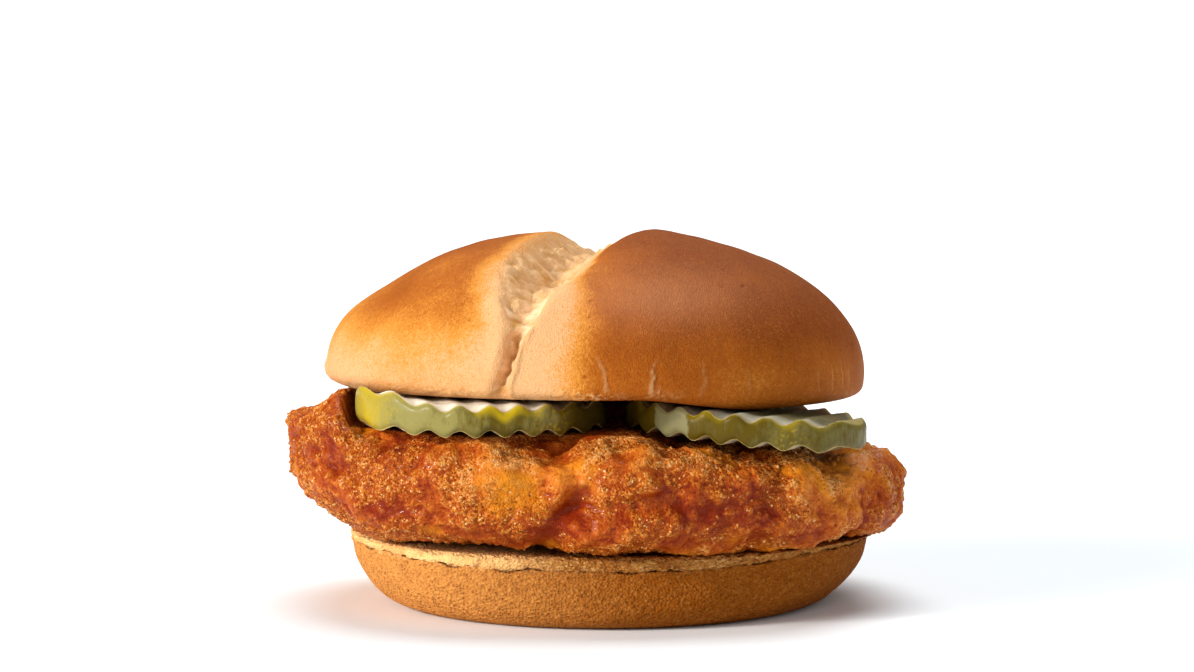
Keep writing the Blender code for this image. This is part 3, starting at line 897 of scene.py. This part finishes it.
def pickle_middle(pickle, x, y, level=-1.0):
    """Height of a slice's middle layer, without its waves; its top curls up outside the bun."""
    out_of_bun = ramp_mm(48.0, 58.0, np.hypot(x - CROWN_X, y))
    curl = pickle["upturn"] * out_of_bun * ramp_mm(-30.0, -44.0, x) * (0.62 + 0.38 * level)
    return pickle["middle"] + pickle["slope"] * (x - pickle["x"]) + curl


def pickle_material(look):
    """Brined cucumber: wet and translucent; its yellow-green light where the rind is thin is a
    painted glow, with painted shade and a painted reflection.
    """
    material, tree = start_material(
        "brined cucumber", Roughness=0.4, IOR=1.38, Subsurface_Weight=0.15,
        Subsurface_Radius=(0.003, 0.003, 0.0008), Subsurface_Scale=0.6, Specular_IOR_Level=0.12,
        Coat_Weight=0.13, Coat_Roughness=0.15, Coat_IOR=1.33,
    )
    broad = object_noise(tree, 6.0 * MM, 3.0, 0.5)
    fine = object_noise(tree, 1.0 * MM, 3.0, 0.6)
    upright = object_noise(tree, 1.3 * MM, 4.0, 0.7, (1.0, 1.0, 0.4))
    _, number = grains(tree, 0.45 * MM)
    rind = look.rind
    # Clear rind, painted glow, and painted shade on the dim rind.
    for label, noisy, weight, start, end, top, tint in (
        ("clear", upright, 2.0, 0.1, 0.9, 1.0, look.rind_clear),
        ("glow", broad, 1.0, 0.2, 1.05, 0.9, look.rind_light),
        ("dim", upright, 0.8, 0.15, 1.0, 0.85, look.rind_dark),
    ):
        swayed = sway(tree, noisy, weight, measure(tree, label))
        rind = mix_colours(tree, share_of(tree, swayed, start, end, top), rind, tint)
    dots = product(tree, share_of(tree, number, 0.7, 1.0, 0.5), measure(tree, "dotted"))
    rind = mix_colours(tree, dots, rind, look.rind_light)
    pulp = colour_ramp(tree, fine, (0.3, [value * 0.8 for value in look.pulp]), (0.6, look.pulp))
    # Painted shade on the pulp.
    pulp = layered(tree, pulp, shade=look.pulp_olive)
    colour = layered(tree, rind, pulp=pulp, seed=look.seed, cut_line=look.cut_line,
                     film=look.film)
    return finish_material(material, colour, fine, 0.3, 0.12 * MM)


def left_looks(along, up, _):
    """Give the left slice's measures from the mm along its chord and the share of its height."""
    # Painted glow at the middle hump, the left end and the top edge; painted shade to the right and
    # low down.
    glow = 1.2 * bump(along, 0.5, 5.0) * ramp(0.4, 0.9, up)
    dim = ramp(8.0, 17.0, along) + 0.4 * bump(along, -1.0, 5.0) * bump(up, 0.2, 0.2)
    return {
        "clear": ramp(3.0, -14.0, along) + 0.5 * bump(along, 8.0, 4.0),
        "glow": np.maximum(glow, 0.8 * bump(along, -22.6, 3.0)) + 0.25 * ramp(0.8, 1.0, up),
        "dim": dim + 0.45 * ramp(0.35, 0.0, up),
        "dotted": np.maximum(bump(along, 9.0, 4.0), bump(along, -20.0, 3.0)),
        "shade": 0.8 * ramp(6.0, 15.0, along),
    }


def right_looks(along, up, back):
    """Give the right slice's measures, also from how far back a place is, from -1 to 1."""
    return {
        # Painted glow at the top edge and one hump; painted shade on the back of the pulp.
        "clear": 0.4 * ramp(5.0, 13.0, along),
        "glow": 0.4 * ramp(0.6, 1.0, up) + 0.25 * bump(along, 13.5, 2.5),
        "dim": 0.32 + 0.2 * ramp(0.6, 0.0, up),
        "dotted": bump(along, 14.0, 2.5),
        "shade": 0.5 + 0.45 * ramp(-0.88, -0.6, back),
    }


def make_pickles(look):
    """Make both crinkle-cut pickle slices."""
    material = pickle_material(look)
    for number, pickle in enumerate(PICKLES):
        lattice, quads = box_lattice(*PICKLE_CELLS)
        radius = pickle["radius"]
        column = np.sin(lattice[:, 0] * 0.5 * math.pi)
        on_face = np.abs(lattice[:, 2]) > 0.9999
        level = np.where(on_face, np.sign(lattice[:, 2]), np.sin(lattice[:, 2] * 0.5 * math.pi))
        shrink = 1.0 - PICKLE_ROUNDING / radius * np.abs(level) ** 5
        from_middle = column * 0.999 * radius
        half_chord = np.sqrt(radius ** 2 - from_middle ** 2)
        plan = np.stack([from_middle, lattice[:, 1] * half_chord], -1)
        edge = np.linalg.norm(plan, axis=-1) / radius
        plan *= shrink[:, None]
        heading = np.arctan2(plan[:, 1], plan[:, 0])
        lumpy = PICKLE_LUMP * np.sin(heading * 9.0 + number) * edge
        plan += unit(plan) * (lumpy[:, None] - PICKLE_LUMP)
        cosine, sine = math.cos(pickle["turn"]), math.sin(pickle["turn"])
        x = pickle["x"] + plan[:, 0] * cosine - plan[:, 1] * sine
        y = pickle["y"] + plan[:, 0] * sine + plan[:, 1] * cosine
        phase = math.tau * (from_middle - pickle["first_ridge"]) / look.pitch
        z = pickle_middle(pickle, x, y, level) + look.wave * np.cos(phase)
        inside = ramp_mm(1.0, 6.0, radius * (1.0 - edge)) * ramp(0.0, 1.0, level)
        z += 0.5 * look.thickness * level + 0.7 * inside * look.wave * (1.0 - np.cos(phase))
        places = np.stack([x, y, z], -1)
        normal = outward(places, quads)
        pulp = on_face * ramp(0.985, 0.93, edge + 0.01 * soft_noise(places, 2.0 * MM, 91))
        seed_spot, chance = nearest_lump(places * (1.0, 1.0, 0.01), 4.0 * MM, 93 + number)
        seeds = pulp * ramp(0.36, 0.2, seed_spot) * ramp(0.62, 0.45, edge) * (chance > 0.3)
        relief = 0.10 * MM * rough_noise(places, 2.0 * MM, 3, 95) + 0.25 * MM * seeds
        relief -= 0.12 * MM
        places = places + normal * relief[:, None]
        name = "slice_" + pickle["node"].split("_")[1]
        ragged = wobble(places, (0.5, 1.0, 97))
        # Painted reflection: a pale patch on the front of the right slice's rind.
        film = ramp_mm(-0.15, 0.15, from_middle - PICKLE_FILM[0] + ragged)
        film *= ramp_mm(0.15, -0.15, from_middle - PICKLE_FILM[1] + ragged)
        film *= number * (1.0 - pulp) * (lattice[:, 1] < 0.0) * 0.7
        cut = ramp(0.93, 0.985, np.abs(level)) * ramp(0.9, 0.97, edge)
        slice_looks = (right_looks if number else left_looks)(
            from_middle / MM, 0.5 + 0.5 * level, lattice[:, 1])
        measures = {
            "pulp": pulp, "seed": seeds, "film": film, "cut_line": cut * (0.65 - 0.2 * level),
            **slice_looks,
        }
        mesh_piece(name, places, (quads,), measures, material, pickle["node"])


class BURGER_OT_pickles(bpy.types.Operator):
    """Make both crinkle-cut pickle slices"""

    bl_idname = "burger.pickles"
    bl_label = "Pickle slices"

    def execute(self, context):
        make_pickles(context.scene.burger_pickle)
        return {"FINISHED"}


# Chicken fillet

FILLET_X = -3.0 * MM
FILLET_LEFT = 61.2 * MM
FILLET_RIGHT = 59.0 * MM
FILLET_END_SLANT = 2.6 * MM
FILLET_FRONT = 56.5 * MM
FILLET_BACK = 44.0 * MM
FILLET_PLAN_POWER = 2.3
FILLET_SECTION_POWER = 4.5
FILLET_LUMP = 3.2 * MM
FILLET_LUMP_SIZE = 24.0 * MM
FILLET_CRAG = 1.9 * MM
FILLET_CRAG_SIZE = 8.5 * MM
FILLET_CELLS = (270, 190, 86)
FILLET_RIM_CLOSENESS = 0.55
AMBER_SPOT = (-18.0 * MM, 25.5 * MM)
SLICES_MEET_X = 1.5 * MM
GAP = 0.3 * MM
# Paler and darker parts of the breading in front, partly own tone and partly painted light and
# shade; the paler one at the right end is painted light on a side turned from the key light. Middle
# and size in mm across and up, and how much paler.
BREADING_ZONES = (
    (-17.0, 29.0, 12.0, 6.0, 0.32), (8.0, 32.0, 14.0, 4.0, 0.25), (41.0, 27.5, 9.0, 6.0, 0.6),
    (25.0, 23.0, 9.0, 4.0, -0.35), (2.0, 18.5, 22.0, 4.0, -0.16), (-40.0, 19.0, 12.0, 4.0, -0.06),
    (8.0, 26.0, 10.0, 5.0, -0.2), (-41.0, 29.0, 8.0, 6.0, -0.1),
)


def fillet_top(x, y):
    """Height of the fillet's top: under the pickles in front, up to the top bun behind."""
    front = 36.1 * MM - 6.6 * MM * ramp_mm(0.0, 52.0, x)
    front += 6.0 * MM * ramp_mm(-46.0, -51.0, x)
    back = 41.0 * MM - 2.4 * MM * ramp_mm(4.0, 28.0, x)
    back -= 9.6 * MM * ramp_mm(22.0, 52.0, x)
    return front + (back - front) * ramp_mm(-9.0, 14.0, y)


def fillet_bottom(x):
    """Height of the fillet's underside, which rises where it hangs out on the left."""
    return HEEL_TOP + GAP + 7.6 * MM * ramp_mm(-38.0, -66.0, x)


def fillet_ceiling(x, y):
    """Highest level that the fillet may reach below the pickles and the top bun."""
    lows = [pickle_middle(pickle, x, y) for pickle in PICKLES]
    low_wave = np.where(x < SLICES_MEET_X, *lows) - 0.5 * SLICE_THICKNESS - SLICE_WAVE
    under_bun = crown_underside(x) - GAP
    clear = np.maximum(ramp_mm(-5.0, 12.0, y), ramp_mm(-48.2, -51.0, x))
    return low_wave - GAP + (under_bun - low_wave + GAP) * clear


def crease_depth(places):
    """Depth of the three deep folds in the fillet's front."""
    folds = (
        ((-5.0, 26.0), (-13.0, 16.0), 2.6, 2.4),
        ((4.2, 23.8), (12.0, 24.6), 2.0, 1.6),
        ((-9.0, 34.0), (-5.0, 26.0), 2.4, 1.4),
    )
    seen = places[:, (0, 2)] / MM
    deepest = np.zeros(len(places))
    for start, end, width, depth in folds:
        start, along = np.array(start), np.array(end) - start
        share = np.clip((seen - start) @ along / (along @ along), 0.0, 1.0)
        distance = np.linalg.norm(seen - start - share[:, None] * along, axis=-1)
        deepest = np.maximum(deepest, depth * bump(distance, 0.0, width))
    return np.where(places[:, 1] > -30.0 * MM, 0.0, deepest * MM)


def breading_material(look):
    """Fried breading: oil-wet crust, glossy over rough grains, with painted glints; painted shade
    makes it dark and red where it is deep.
    """
    material, tree = start_material(
        "oil-fried breading", Roughness=0.55, IOR=1.47, Subsurface_Weight=0.05,
        Subsurface_Radius=(0.003, 0.0012, 0.0004), Subsurface_Scale=0.3, Specular_IOR_Level=0.05,
        Coat_Weight=0.14, Coat_Roughness=0.08, Coat_IOR=1.47,
    )
    broad = object_noise(tree, 9.0 * MM, 3.0, 0.55)
    fine = object_noise(tree, 0.6 * MM, 3.0, 0.85)
    centre, number = grains(tree, 0.42 * MM)
    grainy = measure(tree, "grainy")
    smooth_tone = measure(tree, "raised")
    for noisy, weight in ((broad, 0.9), (fine, 0.7), (number, 0.2)):
        smooth_tone = sway(tree, noisy, weight, smooth_tone)
    tone = sway(tree, fine, 0.6, smooth_tone)
    tone = sway(tree, share_of(tree, number, 0.3, 1.0, 1.0), 0.5, tone)
    # Darker in the low places of the relief: painted shade, swayed by random tone.
    crust = colour_ramp(tree, smooth_tone, (0.1, look.crease), (0.85, look.golden),
                        (0.45, look.fried))
    floury = colour_ramp(tree, tone, (0.2, look.fried), (0.95, look.flour), (0.55, look.golden))
    # Painted shade in the three deep folds.
    colour = layered(tree, crust, grainy=floury, amber=look.amber, deep=look.crease)
    # Painted glints on the palest grains.
    crisp = product(tree, share_of(tree, number, 0.9, 1.0, 0.9),
                    share_of(tree, centre, 0.55, 0.3, 1.0))
    crisp = product(tree, crisp, share_of(tree, grainy, 0.0, 0.7, 1.0))
    colour = mix_colours(tree, crisp, colour, look.glint)
    colour = mix_colours(tree, share_of(tree, number, 0.03, 0.01, 0.6), colour, look.speck)
    rounded = calculate(tree, "MULTIPLY_ADD", centre, -1.0, fine)
    return finish_material(material, colour, rounded, from_to(tree, grainy, 0.4, 1.0), 0.42 * MM)


def make_chicken_fillet(look):
    """Make the breaded fillet with its lumps, crags, grains and folds."""
    lattice, quads = box_lattice(*FILLET_CELLS)
    ring = np.maximum(np.abs(lattice[:, 0]), np.abs(lattice[:, 1]))
    ring = np.maximum(ring, 1e-6)[:, None]
    lattice[:, :2] *= ring ** (FILLET_RIM_CLOSENESS - 1.0)
    plan = (np.abs(lattice[:, :2]) ** FILLET_PLAN_POWER).sum(-1) ** (1.0 / FILLET_PLAN_POWER)
    size = plan ** FILLET_SECTION_POWER + np.abs(lattice[:, 2]) ** FILLET_SECTION_POWER
    across, along, up = (lattice / size[:, None] ** (1.0 / FILLET_SECTION_POWER)).T
    x = FILLET_X + across * np.where(across < 0.0, FILLET_LEFT, FILLET_RIGHT)
    y = along * np.where(along < 0.0, FILLET_FRONT, FILLET_BACK)
    low = fillet_bottom(x)
    level = 0.5 + 0.5 * up
    belly = ramp_mm(-6.0, -26.0, x) * ramp_mm(-20.0, -44.0, y)
    y = y + 2.5 * MM * belly * ramp(0.4, 0.0, level)
    z = low + (fillet_top(x, y) - low) * level
    slant = FILLET_END_SLANT * level * ramp_mm(25.0, 58.0, x)
    places = np.stack([x - slant, y, z], -1)
    x, y, z = places.T
    normal = outward(places, quads)
    lump_places = places / FILLET_LUMP_SIZE + (3.1, 0.4, 7.7)
    lumps = np.array([noise.noise(Vector(place)) for place in lump_places])
    crags = np.array([noise.fractal(Vector(place), 0.9, 2.1, 2)
                      for place in places / FILLET_CRAG_SIZE])
    relief = lumps * FILLET_LUMP + crags * FILLET_CRAG - crease_depth(places)
    relief *= 1.0 - 0.8 * belly * ramp(0.45, 0.15, level)
    twist = np.stack([soft_noise(places, 4.0 * MM, seed) for seed in (101, 102, 103)], -1)
    bent = places + twist * 1.1 * MM
    nodule, _ = nearest_lump(bent, look.nodule, 105)
    granule, grain_number = nearest_lump(bent, look.granule, 107)
    ridged = 1.0 - 2.0 * np.abs(soft_noise(bent, 3.2 * MM, 111))
    lumpy = 0.8 * MM * (0.55 - nodule) + 0.2 * MM * ridged
    folded = crease_depth(places) / MM
    clusters = 1.0 * soft_noise(bent, 8.0 * MM, 109) + lumpy / (0.9 * MM) - 0.3 * folded
    clusters -= 0.25 * ramp_mm(-5.0, 30.0, x)
    grainy = ramp(-0.3, 0.4, clusters)
    amber = ramp(0.25, 0.6, soft_noise(places, 9.0 * MM, 115)) * (1.0 - grainy)
    spot = np.hypot(x - AMBER_SPOT[0], (z - AMBER_SPOT[1]) * 1.3)
    spot += wobble(places, (3.0, 3.5, 117))
    glowing = ramp_mm(7.5, 1.5, spot) * (y < 0.0)
    amber = np.maximum(amber * 0.7, glowing * (1.0 - 0.35 * grainy))
    grainy *= 1.0 - 0.6 * amber
    fine = lumpy * (1.0 - 0.6 * amber) - 0.25 * MM
    fine += (0.4 + 0.6 * grainy) * 0.85 * MM * (0.5 - granule) * (0.4 + grain_number)
    fine += (0.5 + 0.5 * grainy) * 0.2 * MM * soft_noise(places, 0.6 * MM, 113)
    raised = 0.47 + 0.34 * fine / (0.6 * MM) + 0.2 * crags + 0.1 * lumps
    # Paler and darker zones, partly painted light and shade.
    for x_mm, z_mm, wide, tall, paler in BREADING_ZONES:
        raised += paler * bump(x / MM, x_mm, wide) * bump(z / MM, z_mm, tall) * (y < 0.0)
    x, y, z = (places + normal * (relief + fine)[:, None]).T
    upper = ramp(0.4, 1.0, level)
    z = z - 1.4 * MM * ramp_mm(-50.0, -60.0, x) * upper
    z += 1.3 * MM * bump_mm(x, 51.0, 6.0) * upper
    z = np.minimum(z, fillet_ceiling(x, y) + 0.2 * MM)
    z = np.where(np.hypot(x, y) < HEEL_REACH, np.maximum(z, HEEL_TOP + 0.1 * MM), z)
    places = np.stack([x, y, z], -1)
    measures = {
        "raised": np.clip(raised, 0.0, 1.0), "grainy": grainy, "amber": amber * 0.8,
        # Painted shade in the three deep folds.
        "deep": np.clip(ramp(1.3, 2.3, folded) * 0.8, 0.0, 0.8),
    }
    mesh_piece("breaded_fillet", places, (quads,), measures, breading_material(look),
               "chicken_fillet")


class BURGER_OT_chicken_fillet(bpy.types.Operator):
    """Make the breaded fillet with its lumps, crags, grains and folds"""

    bl_idname = "burger.chicken_fillet"
    bl_label = "Chicken fillet"

    def execute(self, context):
        make_chicken_fillet(context.scene.burger_fillet)
        return {"FINISHED"}


# Studio

# For each light: where it comes from, its strength, its spread in degrees and its tint.
LIGHTS = {
    "key": ((-0.82, -0.46, 0.30), 2.35, 32.0, (1.0, 0.97, 0.93)),
    "key_core": ((-0.78, -0.46, 0.40), 1.65, 7.0, (1.0, 0.97, 0.93)),
    "overhead": ((0.08, 0.40, 0.91), 2.6, 50.0, (0.95, 0.98, 1.0)),
    "fill": ((0.5, -0.75, 0.45), 0.55, 60.0, (1.0, 1.0, 1.0)),
}
WORLD_TINT = (0.84, 0.94, 1.0, 1.0)
WORLD_GLOW = 0.23
WORLD_SEEN = 1.4
FLOOR_CORNERS = ((-9, -9, 0), (9, -9, 0), (9, 9, 0), (-9, 9, 0))


class BURGER_OT_stage(bpy.types.Operator):
    """Set up the pale floor, the soft lights and the camera"""

    bl_idname = "burger.stage"
    bl_label = "Floor, lights and camera"

    def execute(self, context):
        look = context.scene.burger_stage
        scene = context.scene
        material, tree = start_material("matt pale floor", Roughness=0.9)
        paper = object_noise(tree, 60.0 * MM, 2.0)
        tone = colour_ramp(tree, paper, (0.0, [value * 0.99 for value in look.floor]),
                           (1.0, look.floor))
        tree.links.new(tone, tree.nodes[SHADER].inputs["Base Color"])
        mesh = bpy.data.meshes.new("floor")
        mesh.from_pydata(FLOOR_CORNERS, [], [(0, 1, 2, 3)])
        mesh.materials.append(material)
        floor = add_object("floor", mesh)

        for name, (towards, strength, spread, tint) in LIGHTS.items():
            sun = bpy.data.lights.new(name, "SUN")
            sun.energy = strength
            sun.angle = math.radians(spread)
            sun.color = tint
            lamp = add_object(name, sun)
            lamp.rotation_euler = Vector(towards).to_track_quat("Z", "Y").to_euler()
        world = bpy.data.worlds.new("studio")
        world.use_nodes = True
        tree = world.node_tree
        backdrop = tree.nodes["Background"]
        backdrop.inputs["Color"].default_value = WORLD_TINT
        seen = add_node(tree, "ShaderNodeLightPath").outputs["Is Camera Ray"]
        strength = from_to(tree, seen, WORLD_GLOW, WORLD_SEEN)
        tree.links.new(strength, backdrop.inputs["Strength"])
        scene.world = world
        scene.view_settings.view_transform = "Standard"

        camera_data = bpy.data.cameras.new("camera")
        camera_data.lens = look.lens
        camera_data.sensor_width = 36.0
        camera_data.clip_start = 0.01
        camera = add_object("camera", camera_data)
        camera.location = (look.sideways, -look.distance, look.eye_height)
        camera.rotation_euler = (0.5 * math.pi - look.look_down, 0.0, 0.0)
        scene.camera = camera
        return {"FINISHED"}


OPERATORS = (
    BURGER_OT_bottom_bun,
    BURGER_OT_chicken_fillet,
    BURGER_OT_pickles,
    BURGER_OT_top_bun,
    BURGER_OT_stage,
)
SETTINGS = {
    "burger_heel": HeelSettings,
    "burger_fillet": FilletSettings,
    "burger_pickle": PickleSettings,
    "burger_crown": CrownSettings,
    "burger_stage": StageSettings,
}


class BURGER_PT_sidebar(bpy.types.Panel):
    """Lists the burger's pieces"""

    bl_idname = "BURGER_PT_sidebar"
    bl_label = "Chicken burger"
    bl_space_type = "VIEW_3D"
    bl_region_type = "UI"
    bl_category = "Burger"

    def draw(self, context):
        for operator, (group, settings) in zip(OPERATORS, SETTINGS.items()):
            box = self.layout.box()
            for label in settings.__annotations__:
                box.prop(getattr(context.scene, group), label)
            box.operator(operator.bl_idname)


def register():
    for made in (*SETTINGS.values(), *OPERATORS, BURGER_PT_sidebar):
        bpy.utils.register_class(made)
    for group, settings in SETTINGS.items():
        setattr(bpy.types.Scene, group, PointerProperty(type=settings))


def unregister():
    for group in SETTINGS:
        delattr(bpy.types.Scene, group)
    for made in (BURGER_PT_sidebar, *reversed(OPERATORS), *SETTINGS.values()):
        bpy.utils.unregister_class(made)


def main():
    register()
    bpy.ops.burger.bottom_bun()
    bpy.ops.burger.chicken_fillet()
    bpy.ops.burger.pickles()
    bpy.ops.burger.top_bun()
    bpy.ops.burger.stage()


if __name__ == "__main__":
    main()
